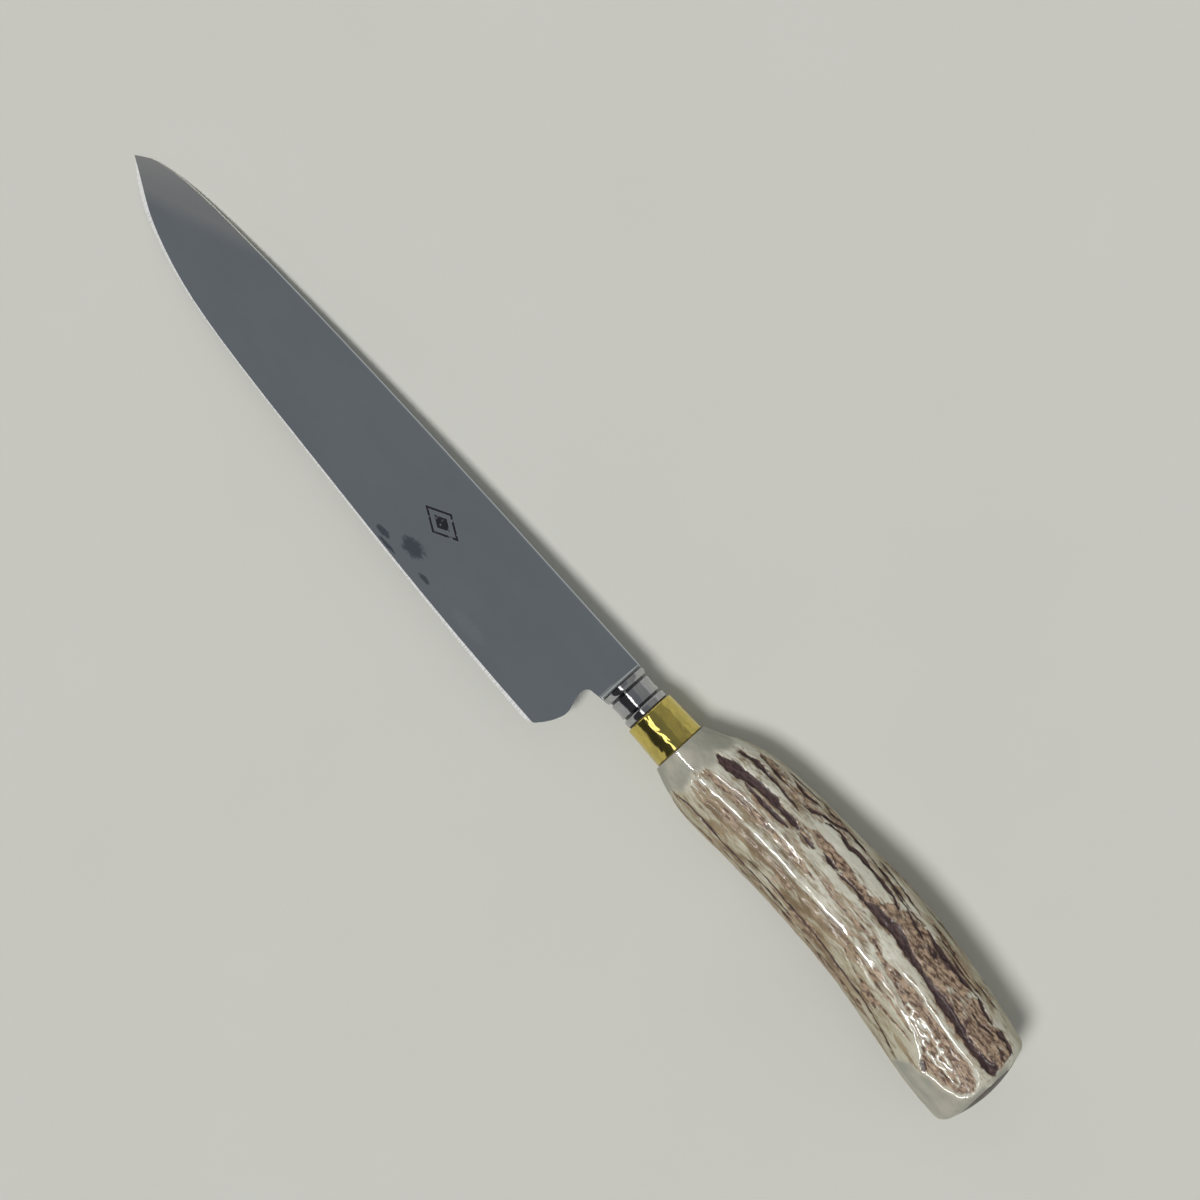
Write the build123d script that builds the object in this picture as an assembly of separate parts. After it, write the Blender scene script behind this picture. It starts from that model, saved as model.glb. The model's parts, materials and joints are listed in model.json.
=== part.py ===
from build123d import *
import math
import os

# Butcher's knife: a forged blade with a turned bolster and a stick tang, a brass ferrule,
# and a stag antler handle. It is drawn in a design frame and laid on its side at the end:
#   X from the point (-X) to the butt (+X), zero at the back face of the bolster,
#   Y from the cutting edge (-Y) to the spine (+Y), zero on the bolster's axis,
#   Z across the blade, zero in its middle plane. All lengths are in millimetres.

# Blade
BLADE_LENGTH = 183.1
BOLSTER_LENGTH = 11.4
POINT_X = -BLADE_LENGTH - BOLSTER_LENGTH
POINT_Y = -0.9
HEEL_X = 173.6
HEEL_Y = -24.4
SPINE_AT_BOLSTER = 6.4
SPINE_HALF_THICKNESS = 1.25
LENGTH_TAPER = 0.0030
DEPTH_TAPER = 0.0324
SPINE_EASING = 0.3
BEVEL_ANGLE = 14.0
BEVEL_STATIONS = 16
EDGE_HALF_LAND = 0.02
TIP_GRIND_RADIUS = 115.0
TIP_GRIND_CROSSING = 0.4

# Bolster
COLLAR_RADIUS = 6.5
BARREL_RADIUS = 6.1
BARREL_WAIST = 0.15
REAR_RING_RADIUS = 6.4
GROOVE_RADIUS = 5.6
FLANK_FILLET = 1.4

# Tang, bore and ferrule
TANG_LENGTH = 76.0
TANG_ROOT = (6.4, 3.4)
TANG_END = (4.0, 2.4)
BORE_RADIUS = 3.7
BORE_DEPTH = 80.0
SPIGOT_RADIUS = 6.35
FERRULE_LENGTH = 11.6
FERRULE_BORE_RADIUS = 6.45
FERRULE_FRONT_RADIUS = 7.0
FERRULE_REAR_RADIUS = 7.4
FERRULE_EASING = 0.25
FRONT_SEAM = 0.3
REAR_SEAM = 0.2
FERRULE_END_X = FRONT_SEAM + FERRULE_LENGTH
SHOULDER_X = FERRULE_END_X + REAR_SEAM

# Antler handle
BUTT_X = 128.0
BUTT_CENTRE_Y = -1.0
BUTT_PLAN_RADIUS = 34.0
BUTT_SIDE_RADIUS = 20.0
BUTT_EASING = 3.0
CORE_SHARE_ACROSS = 0.58
CORE_SHARE_UP = 0.62
CORE_START_X = 17.0
CORE_FRONT_RADIUS = 4.6
SEAL_DEPTH = 1.2
UNDERSIDE_FLATNESS = 1.2
# stations along the handle: X, Y of the belly, Y of the back, half height across the blade
HANDLE_STATIONS = [
    (SHOULDER_X, -8.2, 8.1, 8.0),
    (15.0, -9.5, 9.5, 8.8),
    (18.5, -10.3, 11.2, 9.4),
    (22.5, -10.8, 13.5, 9.9),
    (27.0, -10.9, 15.5, 10.3),
    (33.0, -10.6, 16.7, 10.8),
    (42.0, -10.1, 17.6, 11.4),
    (54.0, -9.7, 18.4, 12.0),
    (66.0, -9.8, 19.1, 12.4),
    (78.0, -10.3, 19.6, 12.6),
    (90.0, -11.5, 19.1, 12.7),
    (101.0, -13.0, 17.9, 12.7),
    (111.0, -14.3, 16.4, 12.6),
    (121.0, -15.0, 14.5, 12.5),
    (132.0, -15.3, 12.2, 12.3),
]
SECTION_POINTS = 16

# Middle of the part of the flank that a magnetic rack holds
FLANK_MOUNT = (-70.0, -6.0)

# Lying on its side, the knife rests on the belly of the handle and on the point of the blade.
REST_PITCH = 2.8


def from_point(x, y):
    """A point of the blade's outline, with x measured back from the point of the blade."""
    return (POINT_X + x, y)


def edge_curve():
    return Spline(
        from_point(0, POINT_Y),
        from_point(4.6, -4.3),
        from_point(10.6, -7.9),
        from_point(21.1, -11.8),
        from_point(33.1, -14.7),
        from_point(51.6, -17.2),
        from_point(87.6, -19.9),
        from_point(127.6, -22.5),
        from_point(HEEL_X, HEEL_Y),
    )


def blade_outline():
    """Spine, cutting edge, rounded heel, choil, and the throat that runs into the bolster."""
    root_x = BLADE_LENGTH + 2
    spine = Spline(
        from_point(0, POINT_Y),
        from_point(5.6, 1.7),
        from_point(16.1, 3.9),
        from_point(31.6, 5.0),
        from_point(61.6, 5.9),
        from_point(122.6, 6.55),
        from_point(root_x, SPINE_AT_BOLSTER),
    )
    heel = ThreePointArc(from_point(HEEL_X, HEEL_Y), from_point(176.1, -23.9), from_point(177.7, -22.6))
    choil = Spline(
        from_point(177.7, -22.6),
        from_point(180.1, -18.6),
        from_point(180.9, -14.8),
        from_point(179.7, -11.2),
        from_point(179.5, -9.0),
        from_point(181.3, -7.0),
        tangents=[heel % 1, (1, 0.12)],
    )
    throat = Line(from_point(181.3, -7.0), from_point(root_x, -SPINE_AT_BOLSTER))
    back = Line(from_point(root_x, -SPINE_AT_BOLSTER), from_point(root_x, SPINE_AT_BOLSTER))
    return [spine, edge_curve(), heel, choil, throat, back]


def flank_height(x, y):
    """Half thickness of the blade, which tapers to the point and to the edge."""
    from_root = LENGTH_TAPER * (x + BOLSTER_LENGTH)
    from_spine = DEPTH_TAPER * (y - SPINE_AT_BOLSTER)
    return SPINE_HALF_THICKNESS + from_root + from_spine


def flank_normal():
    return Vector(-LENGTH_TAPER, -DEPTH_TAPER, 1).normalized()


def flank_plane():
    origin = (-BOLSTER_LENGTH, SPINE_AT_BOLSTER, SPINE_HALF_THICKNESS)
    return Plane(origin=origin, x_dir=(1, 0, LENGTH_TAPER), z_dir=flank_normal())


def bevel_section(edge, share, beyond=0.0):
    """The wedge's section square to the edge, at a share of the edge's length or a bit beyond it."""
    outside, inside, top = -1.5, 3.0, 3.0
    slope = math.tan(math.radians(BEVEL_ANGLE))
    outline = Polyline(
        (outside, EDGE_HALF_LAND + outside * slope),
        (inside, EDGE_HALF_LAND + inside * slope),
        (inside, top),
        (outside, top),
        close=True,
    )
    upward = Vector(0, 0, 1)
    along = edge % share
    inward = upward.cross(along)
    frame = Plane(origin=edge @ share + along * beyond, x_dir=inward, z_dir=inward.cross(upward))
    return frame * make_face(outline)


def bevel_cutter():
    """What is ground away above the sharpened bevel: a wedge that follows the cutting edge."""
    edge = edge_curve()
    shares = [(k / BEVEL_STATIONS) ** 1.8 for k in range(BEVEL_STATIONS + 1)]
    sections = [bevel_section(edge, share) for share in shares]
    return loft([bevel_section(edge, 0, -4.0), *sections, bevel_section(edge, 1, 8.0)])


def tip_grind_cutter():
    """What is ground away where the flank rounds off towards the point and the false edge."""
    low = Vector(*from_point(12.6, -7), 0)
    high = Vector(*from_point(39.6, 3.6), 0)
    middle = (low + high) * 0.5
    origin = Vector(middle.X, middle.Y, flank_height(middle.X, middle.Y))
    reach, height = 16.0, 4.0
    slope = math.tan(math.radians(TIP_GRIND_CROSSING))

    def fall(distance):
        return -distance ** 2 / (2 * TIP_GRIND_RADIUS) - distance * slope

    arc = ThreePointArc((0, 0), (reach / 2, fall(reach / 2)), (reach, fall(reach)))
    walls = Polyline((reach, fall(reach)), (reach, height), (0, height), (0, 0))
    normal = flank_normal()
    towards_point = Vector(0, 0, 1).cross(high - low)
    across = towards_point - normal * towards_point.dot(normal)
    frame = Plane(origin=origin, x_dir=across, z_dir=across.cross(normal))
    return extrude(frame * make_face([arc, walls]), amount=40, both=True)


def is_spine_edge(edge):
    return edge.length > 20 and edge.center().Y > 0 and edge.center().Z > 0.1


def flat_blade():
    """The blade proper, made as its upper half and mirrored in the middle plane."""
    upper = extrude(make_face(blade_outline()), amount=2)
    upper = split(upper, bisect_by=flank_plane(), keep=Keep.BOTTOM)
    upper -= tip_grind_cutter()
    upper -= bevel_cutter()
    upper = chamfer(upper.edges().filter_by(is_spine_edge), SPINE_EASING)
    return upper + mirror(upper, about=Plane.XY)


def turned_bolster():
    """A collar, a waisted barrel between two grooves, and a rear ring, turned about X."""
    front = -BOLSTER_LENGTH + FLANK_FILLET
    collar = COLLAR_RADIUS
    barrel = BARREL_RADIUS
    ring = REAR_RING_RADIUS
    profile = [
        Line((front, 0), (front, collar - 0.4)),
        ThreePointArc((front, collar - 0.4), (front + 0.15, collar - 0.1), (front + 0.6, collar)),
        ThreePointArc((front + 0.6, collar), (-8.4, collar - 0.1), (-7.8, barrel)),
        ThreePointArc((-7.8, barrel), (-7.4, GROOVE_RADIUS), (-7.0, barrel)),
        ThreePointArc((-7.0, barrel), (-4.85, barrel - BARREL_WAIST), (-2.7, barrel)),
        ThreePointArc((-2.7, barrel), (-2.35, GROOVE_RADIUS), (-2.0, barrel)),
        ThreePointArc((-2.0, barrel), (-1.7, ring - 0.05), (-1.2, ring)),
        Line((-1.2, ring), (-0.3, ring)),
        ThreePointArc((-0.3, ring), (-0.1, ring - 0.1), (0, ring - 0.3)),
        Polyline((0, ring - 0.3), (0, 0), (front, 0)),
    ]
    return revolve(make_face(profile), axis=Axis.X)


def flank_fillets():
    """The hollow round that carries each flank up into the bolster's collar."""
    front = -BOLSTER_LENGTH + FLANK_FILLET
    overlap = 0.2
    foot = SPINE_HALF_THICKNESS - 0.3
    top = foot + FLANK_FILLET
    start = front - FLANK_FILLET
    bend = FLANK_FILLET * math.sqrt(0.5)
    hollow = ThreePointArc((start, foot), (start + bend, top - bend), (front, top))
    rest = Polyline((front, top), (front + overlap, top), (front + overlap, 0), (start, 0), (start, foot))
    block = extrude(Plane.XZ * make_face([hollow, rest]), amount=COLLAR_RADIUS, both=True)
    block &= rod(COLLAR_RADIUS - 0.1, start, front + overlap)
    return block + mirror(block, about=Plane.XY)


def tang():
    root = Plane.YZ * Rectangle(*TANG_ROOT)
    end = Plane.YZ.offset(TANG_LENGTH) * Rectangle(*TANG_END)
    return loft([root, end])


def blade():
    """One forging: blade, bolster and tang."""
    return flat_blade() + turned_bolster() + flank_fillets() + tang()


def rod(radius, start, end):
    """A round bar about X from one station to another."""
    return Pos((start + end) / 2, 0, 0) * Rot(0, 90, 0) * Cylinder(radius, end - start)


def ferrule():
    """A drawn brass sleeve, slightly wider where it meets the antler, with its rims eased."""
    section = Polyline(
        (FRONT_SEAM, FERRULE_BORE_RADIUS),
        (FRONT_SEAM, FERRULE_FRONT_RADIUS - FERRULE_EASING),
        (FRONT_SEAM + FERRULE_EASING, FERRULE_FRONT_RADIUS),
        (FERRULE_END_X - FERRULE_EASING, FERRULE_REAR_RADIUS),
        (FERRULE_END_X, FERRULE_REAR_RADIUS - FERRULE_EASING),
        (FERRULE_END_X, FERRULE_BORE_RADIUS),
        close=True,
    )
    return revolve(make_face(section), axis=Axis.X)


def oval(x, centre_y, across, up, flatter=2.0):
    """An oval section at x: an ellipse above, and below it a curve that a larger power flattens."""
    points = []
    for step in range(SECTION_POINTS):
        angle = math.tau * step / SECTION_POINTS
        power = 2.0 if angle <= math.pi else flatter
        reach_y = abs(math.cos(angle)) / across
        reach_z = abs(math.sin(angle)) / up
        radius = (reach_y ** power + reach_z ** power) ** (-1 / power)
        points.append((radius * math.cos(angle) + centre_y, radius * math.sin(angle)))
    return Plane.YZ.offset(x) * make_face(Spline(points, periodic=True))


def handle_section(station):
    """The outside of the handle at a station, flatter below, so that it lies still."""
    x, belly, back, half_height = station
    flatter = 2.0 + UNDERSIDE_FLATNESS * min(1.0, (x - SHOULDER_X) / 15)
    return oval(x, (belly + back) / 2, (back - belly) / 2, half_height, flatter)


def core_section(station):
    x, belly, back, half_height = station
    return oval(x, (belly + back) / 2, CORE_SHARE_ACROSS * (back - belly) / 2, CORE_SHARE_UP * half_height)


def butt_cutter(inset=0.0):
    """Everything behind the crowned butt face, which is rounder across the blade than in plan."""
    crown = BUTT_X - inset
    reach, depth, half_turn = 15.0, 9.0, 75
    rim = crown - BUTT_SIDE_RADIUS + math.sqrt(BUTT_SIDE_RADIUS ** 2 - reach ** 2)
    face = ThreePointArc((rim, -reach), (crown, 0), (rim, reach))
    behind = Polyline((rim, reach), (crown + depth, reach), (crown + depth, -reach), (rim, -reach))
    profile = Plane.XZ.offset(-BUTT_CENTRE_Y) * make_face([face, behind])
    turning = Axis((crown - BUTT_PLAN_RADIUS, BUTT_CENTRE_Y, 0), (0, 0, 1))
    return revolve(profile.rotate(turning, -half_turn), axis=turning, revolution_arc=2 * half_turn)


def handle_bore():
    return rod(BORE_RADIUS, 0, BORE_DEPTH)


def core_blank():
    """The space inside the hard outer layer, from behind the spigot to past the butt."""
    front = oval(CORE_START_X, 0, CORE_FRONT_RADIUS, CORE_FRONT_RADIUS)
    behind_front = [station for station in HANDLE_STATIONS if station[0] > CORE_START_X + 8]
    return loft([front] + [core_section(station) for station in behind_front])


def is_butt_rim(edge):
    return edge.center().X > BUTT_X - 12


def antler_beam():
    """The hard outer layer, with the spigot turned on its front end for the ferrule."""
    beam = loft([handle_section(station) for station in HANDLE_STATIONS]) - butt_cutter()
    beam = fillet(beam.edges().filter_by(is_butt_rim), BUTT_EASING)
    beam += rod(SPIGOT_RADIUS, FRONT_SEAM, SHOULDER_X)
    return beam - core_blank() - handle_bore()


def antler_core():
    """The spongy inside of the antler, drilled for the tang."""
    return core_blank() - butt_cutter(SEAL_DEPTH) - handle_bore()


def core_seal():
    """The dark seal that closes the spongy core at the butt."""
    return (core_blank() & butt_cutter(SEAL_DEPTH)) - butt_cutter()


def tang_cement():
    """The cutler's cement that fills the bore round the tang and the seam behind the bolster."""
    seam = rod(REAR_RING_RADIUS - FRONT_SEAM, 0, FRONT_SEAM)
    return handle_bore() + seam - tang()


def ferrule_cement():
    """The film between ferrule and spigot, and the thin dark seam behind the ferrule."""
    film = rod(FERRULE_BORE_RADIUS, FRONT_SEAM, SHOULDER_X)
    seam = rod(FERRULE_REAR_RADIUS - FRONT_SEAM, FERRULE_END_X, SHOULDER_X)
    return film + seam - rod(SPIGOT_RADIUS, FRONT_SEAM, SHOULDER_X)


def laid_on_its_side(nodes):
    """Tilt every node into the rest pose, then put the origin under the middle of the whole box."""
    tilt = Rot(0, -REST_PITCH, 0)
    boxes = [(tilt * shape).bounding_box() for shape in nodes.values()]
    low_x, low_y, low_z = (min(getattr(box.min, axis) for box in boxes) for axis in "XYZ")
    high_x, high_y = (max(getattr(box.max, axis) for box in boxes) for axis in "XY")
    return Pos(-(low_x + high_x) / 2, -(low_y + high_y) / 2, -low_z) * tilt


def report_flank(rest, side):
    """Print a point on one flank and the flank's outward normal, in the finished frame."""
    x, y = FLANK_MOUNT
    on_flank = Vector(x, y, side * flank_height(x, y))
    outward = Vector(flank_normal().X, flank_normal().Y, side * flank_normal().Z)
    point = (rest * Pos(on_flank)).position
    beyond = (rest * Pos(on_flank + outward)).position
    print("flank mount", point, "normal", beyond - point)


def main():
    os.makedirs("parts", exist_ok=True)
    nodes = {
        "blade": blade(),
        "ferrule": ferrule(),
        "antler_beam": antler_beam(),
        "antler_core": antler_core(),
        "core_seal": core_seal(),
        "tang_cement": tang_cement(),
        "ferrule_cement": ferrule_cement(),
    }
    rest = laid_on_its_side(nodes)
    for name, shape in nodes.items():
        export_step(rest * shape, f"parts/{name}.step")
        print(name, len(shape.solids()), "solid", round(shape.volume, 1), "mm3", shape.is_valid)
    report_flank(rest, 1)
    report_flank(rest, -1)


main()
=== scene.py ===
import json
import math
import bpy
import numpy as np
from mathutils import Matrix, Vector
from mathutils.bvhtree import BVHTree


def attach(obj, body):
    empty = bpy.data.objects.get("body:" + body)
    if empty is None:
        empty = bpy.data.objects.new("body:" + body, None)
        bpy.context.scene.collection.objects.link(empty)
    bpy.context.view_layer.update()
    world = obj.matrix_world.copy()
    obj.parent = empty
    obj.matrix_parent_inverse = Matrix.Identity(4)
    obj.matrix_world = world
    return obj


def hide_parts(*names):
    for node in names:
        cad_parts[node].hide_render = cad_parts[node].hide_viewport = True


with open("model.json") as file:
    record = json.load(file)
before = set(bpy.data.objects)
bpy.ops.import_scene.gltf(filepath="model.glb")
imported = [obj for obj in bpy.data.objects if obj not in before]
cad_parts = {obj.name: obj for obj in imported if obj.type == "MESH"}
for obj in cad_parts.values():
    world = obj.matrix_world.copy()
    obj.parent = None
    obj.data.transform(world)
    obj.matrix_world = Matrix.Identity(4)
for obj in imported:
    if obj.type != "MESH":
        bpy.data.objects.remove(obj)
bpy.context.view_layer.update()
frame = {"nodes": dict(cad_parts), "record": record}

MM = 0.001

# ------------------------------------------------------------------ the knife's own design frame
# X runs from the point to the butt with zero at the bolster's back face, Y to the spine and Z
# across the blade, in millimetres. The two flank mounts sit at FLANK_MOUNT, one on each side.
FLANK_MOUNT = (-70.0, -6.0)


def design_frame():
    """The matrix from design millimetres to the row frame in metres, found from the flank mounts."""
    mounts = {m["name"]: Vector(m["pos_m"]) for m in frame["record"]["mounts"]}
    upper = mounts["blade_flank_upper"]
    lower = mounts["blade_flank_lower"]
    z_axis = (upper - lower).normalized()
    y_axis = Vector((0, 1, 0))
    x_axis = y_axis.cross(z_axis)
    turn = Matrix((x_axis, y_axis, z_axis)).transposed()
    origin = (upper + lower) / 2 - turn @ Vector((FLANK_MOUNT[0] * MM, FLANK_MOUNT[1] * MM, 0))
    return Matrix.Translation(origin) @ turn.to_4x4() @ Matrix.Scale(MM, 4)


TO_ROW = design_frame()
TO_DESIGN = TO_ROW.inverted()

# ------------------------------------------------------------------ camera and lamps
# Metres, except the camera's place beside the bolster, which is in millimetres.
CAMERA_FROM_BOLSTER = (-29.1, 9.98)
CAMERA_HEIGHT = 0.800
CAMERA_LENS = 93.83
CAMERA_FILM = 36
CAMERA_REACH = 200
CAMERA_TURN = math.radians(47.75)
LAMP_LEAN = math.radians(21)
SOFT_SPREAD = math.radians(18)
SOFT_STRENGTH = 1.98
SOFT_TINT = (1.0, 0.985, 0.965)
TUBE_LENGTH = 3.6
TUBE_TINT = (1.0, 0.985, 0.955)
BRIGHT_TUBE = {"away": 2.0, "width": 0.24, "power": 150.0}
DIM_TUBE = {"away": 2.1, "width": 0.47, "power": 12.0}


def make_camera():
    data = bpy.data.cameras.new("camera")
    data.lens = CAMERA_LENS
    data.sensor_width = CAMERA_FILM
    data.clip_end = CAMERA_REACH
    camera = bpy.data.objects.new("camera", data)
    bolster = TO_ROW.translation
    beside = [bolster[k] + CAMERA_FROM_BOLSTER[k] * MM for k in range(2)]
    camera.location = (*beside, CAMERA_HEIGHT)
    camera.rotation_euler = (0, 0, CAMERA_TURN)
    bpy.context.scene.collection.objects.link(camera)
    bpy.context.scene.camera = camera


def make_lamp():
    """A soft lamp nearly overhead, leaning to the edge side, so the shadow falls past the spine."""
    data = bpy.data.lights.new("soft_lamp", "SUN")
    data.angle = SOFT_SPREAD
    data.energy = SOFT_STRENGTH
    data.color = SOFT_TINT
    lamp = bpy.data.objects.new("soft_lamp", data)
    lamp.rotation_euler = (LAMP_LEAN, 0, 0)
    lamp.visible_glossy = False
    bpy.context.scene.collection.objects.link(lamp)


def make_tube(name, away, width, power):
    """A long tube along X, where the soft lamp's light comes from, that only shiny surfaces show."""
    data = bpy.data.lights.new(name, "AREA")
    data.shape = "RECTANGLE"
    data.size = TUBE_LENGTH
    data.size_y = width
    data.energy = power
    data.color = TUBE_TINT
    tube = bpy.data.objects.new(name, data)
    tube.location = (0, -away * math.sin(LAMP_LEAN), away * math.cos(LAMP_LEAN))
    tube.rotation_euler = (-LAMP_LEAN, 0, 0)
    tube.visible_diffuse = False
    tube.visible_camera = False
    bpy.context.scene.collection.objects.link(tube)
    return tube


def shine_only_on(lamp, thing):
    """Link a lamp to one object, so that it leaves the rest alone."""
    group = bpy.data.collections.new(lamp.name + "_receivers")
    group.objects.link(thing)
    lamp.light_linking.receiver_collection = group


# ------------------------------------------------------------------ node helper
class Graph:
    """Builds one node tree; each method adds a node and returns its output socket."""

    def __init__(self, tree):
        self.tree = tree

    def add(self, kind, **settings):
        node = self.tree.nodes.new(kind)
        for key, value in settings.items():
            setattr(node, key, value)
        return node

    def feed(self, socket, value):
        if isinstance(value, bpy.types.NodeSocket):
            self.tree.links.new(value, socket)
        elif value is not None:
            if socket.type == "RGBA" and len(value) == 3:
                value = (*value, 1)
            socket.default_value = value

    def math(self, operation, a, b=None, c=None, clamp=False):
        node = self.add("ShaderNodeMath", operation=operation, use_clamp=clamp)
        for socket, value in zip(node.inputs, (a, b, c)):
            self.feed(socket, value)
        return node.outputs[0]

    def vector(self, operation, a, b=None):
        node = self.add("ShaderNodeVectorMath", operation=operation)
        self.feed(node.inputs[0], a)
        self.feed(node.inputs[1], b)
        return node.outputs["Value" if operation in ("DOT_PRODUCT", "LENGTH") else "Vector"]

    def blend(self, factor, a, b, mode="MIX"):
        node = self.add("ShaderNodeMix", data_type="RGBA", blend_type=mode)
        self.feed(node.inputs[0], factor)
        self.feed(node.inputs[6], a)
        self.feed(node.inputs[7], b)
        return node.outputs[2]

    def fade(self, value, low, high, out_low=0.0, out_high=1.0):
        """A smooth step of value from low to high, falling when low is above high."""
        node = self.add("ShaderNodeMapRange", interpolation_type="SMOOTHSTEP")
        if low > high:
            low, high, out_low, out_high = high, low, out_high, out_low
        for socket, number in zip(node.inputs, (value, low, high, out_low, out_high)):
            self.feed(socket, number)
        return node.outputs[0]

    def place(self, lengths):
        """The place on the object in units of the given lengths, in millimetres."""
        node = self.add("ShaderNodeTexCoord")
        return self.vector("MULTIPLY", node.outputs["Object"], tuple(1 / (MM * n) for n in lengths))

    def noise(self, lengths, detail=3.0, roughness=0.55, distortion=0.0):
        node = self.add("ShaderNodeTexNoise")
        self.feed(node.inputs["Vector"], self.place(lengths))
        self.feed(node.inputs["Scale"], 1.0)
        self.feed(node.inputs["Detail"], detail)
        self.feed(node.inputs["Roughness"], roughness)
        self.feed(node.inputs["Distortion"], distortion)
        return node.outputs["Fac"]

    def bump(self, height, depth, normal=None):
        """Relief of the given depth in millimetres where height goes from 0 to 1."""
        node = self.add("ShaderNodeBump")
        self.feed(node.inputs["Distance"], depth * MM)
        self.feed(node.inputs["Height"], height)
        self.feed(node.inputs["Normal"], normal)
        return node.outputs[0]

    def channels(self, name):
        node = self.add("ShaderNodeVertexColor", layer_name=name)
        split = self.add("ShaderNodeSeparateColor")
        self.feed(split.inputs[0], node.outputs[0])
        return split.outputs[0], split.outputs[1], split.outputs[2]


def new_material(name):
    """An empty material, its graph, and its surface shader."""
    material = bpy.data.materials.new(name)
    material.use_nodes = True
    graph = Graph(material.node_tree)
    return material, graph, material.node_tree.nodes["Principled BSDF"]


def dress(graph, shader, **inputs):
    for name, value in inputs.items():
        graph.feed(shader.inputs[name.replace("_", " ")], value)


# ------------------------------------------------------------------ world and floor
WALL_DARK = (0.05, 0.05, 0.055)
WALL_GREY = (0.31, 0.31, 0.305)
CEILING_GREY = (0.195, 0.205, 0.22)
HORIZON_PALE = (0.55, 0.555, 0.53)
FLOOR_HALF = 30.0
FLOOR_COLOURS = ((0.660, 0.668, 0.622), (0.700, 0.706, 0.668))


def make_world():
    """A plain studio: a grey ceiling, a darker wall on the edge side, and a pale horizon."""
    world = bpy.data.worlds.new("studio")
    bpy.context.scene.world = world
    world.use_nodes = True
    graph = Graph(world.node_tree)
    direction = graph.add("ShaderNodeTexCoord").outputs["Generated"]
    split = graph.add("ShaderNodeSeparateXYZ")
    graph.feed(split.inputs[0], direction)
    towards_spine, height = split.outputs[1], split.outputs[2]
    colour = graph.blend(graph.fade(towards_spine, -0.46, -0.10), WALL_DARK, WALL_GREY)
    colour = graph.blend(graph.fade(height, 0.90, 0.955), colour, CEILING_GREY)
    colour = graph.blend(graph.fade(height, 0.36, 0.24), colour, HORIZON_PALE)
    graph.feed(world.node_tree.nodes["Background"].inputs[0], colour)


def make_floor():
    mesh = bpy.data.meshes.new("floor")
    corners = [(-1, -1), (1, -1), (1, 1), (-1, 1)]
    mesh.from_pydata([(FLOOR_HALF * x, FLOOR_HALF * y, 0) for x, y in corners], [], [(0, 1, 2, 3)])
    floor = bpy.data.objects.new("floor", mesh)
    bpy.context.scene.collection.objects.link(floor)
    material, graph, shader = new_material("pale_table")
    mottle = graph.noise((60, 60, 60), detail=5)
    colour = graph.blend(mottle, *FLOOR_COLOURS)
    dress(graph, shader, Base_Color=colour, Roughness=0.65, Specular_IOR_Level=0.1)
    mesh.materials.append(material)


# ------------------------------------------------------------------ noise
def smooth(value, low, high):
    t = np.clip((value - low) / (high - low), 0, 1)
    return t * t * (3 - 2 * t)


def lattice_noise(along, turns, cells, seed):
    """Smooth noise from -1 to 1: along is in lattice steps, turns wraps round in whole cells."""
    steps = int(along.max()) + 3
    table = np.random.default_rng(seed).uniform(-1, 1, (steps, cells))
    i = np.floor(along).astype(int)
    j = np.floor(turns * cells).astype(int)
    a = smooth(along - i, 0, 1)
    b = smooth(turns * cells - j, 0, 1)
    i = np.clip(i, 0, steps - 2)
    j0, j1 = j % cells, (j + 1) % cells
    near = table[i, j0] * (1 - b) + table[i, j1] * b
    far = table[i + 1, j0] * (1 - b) + table[i + 1, j1] * b
    return near * (1 - a) + far * a


def streaks(along, turns, length, cells, octaves, seed):
    """Noise drawn out along the handle: its first octave is length mm long, cells round the girth."""
    total = np.zeros_like(along)
    for k in range(octaves):
        total += lattice_noise(along / length * 2 ** k, turns, cells * 2 ** k, seed + k) * 0.55 ** k
    return total


# ------------------------------------------------------------------ the antler's surface grid
# Design millimetres. Rings are cast straight out from the curved axis up to FOCUS_X, and then as a
# fan from that point over the domed butt.
SHOULDER_X = 12.1
SPIGOT_X = 0.6
SPIGOT_RADIUS = 6.35
FOCUS_X = 113.0
AXIS_X = (12.0, 27.0, 50.0, 78.0, 113.0)
AXIS_Y = (0.0, 2.3, 4.2, 4.6, 0.6)
FIRST_RING_X = SHOULDER_X + 0.06
RING_STEP = 0.31
COLUMNS = 256
FAN_RINGS = 62
RAY_REACH = 60
CALM_LENGTH = 4.0
CALM_ENDS = (92, 108)
RIM_HALVINGS = 16
CORE_START_X = 17.0
CORE_FAN = (0.8, 0.5, 0.25)
CORE_RINGS = (105, 90, 70, 50, 35, 25, 19)
SHOULDER_STEP = 0.12
SHOULDER_SHARES = (0.955, 0.985)


def mesh_in_design(node):
    """A CAD node's points in design millimetres, and its faces."""
    mesh = frame["nodes"][node].data
    points = np.empty(len(mesh.vertices) * 3)
    mesh.vertices.foreach_get("co", points)
    turn = np.array(TO_DESIGN)
    points = points.reshape(-1, 3) @ turn[:3, :3].T + turn[:3, 3]
    return points, [tuple(p.vertices) for p in mesh.polygons]


def ray_tree(*nodes):
    """One ray-casting tree over some nodes, and the index at which each node's faces start."""
    points, faces, starts = np.zeros((0, 3)), [], []
    for node in nodes:
        more, polygons = mesh_in_design(node)
        starts.append(len(faces))
        faces += [tuple(i + len(points) for i in p) for p in polygons]
        points = np.vstack((points, more))
    return BVHTree.FromPolygons(points.tolist(), faces), starts


def axis_point(x):
    """A point of the antler's curved axis."""
    return Vector((x, float(np.interp(x, AXIS_X, AXIS_Y)), 0))


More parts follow.
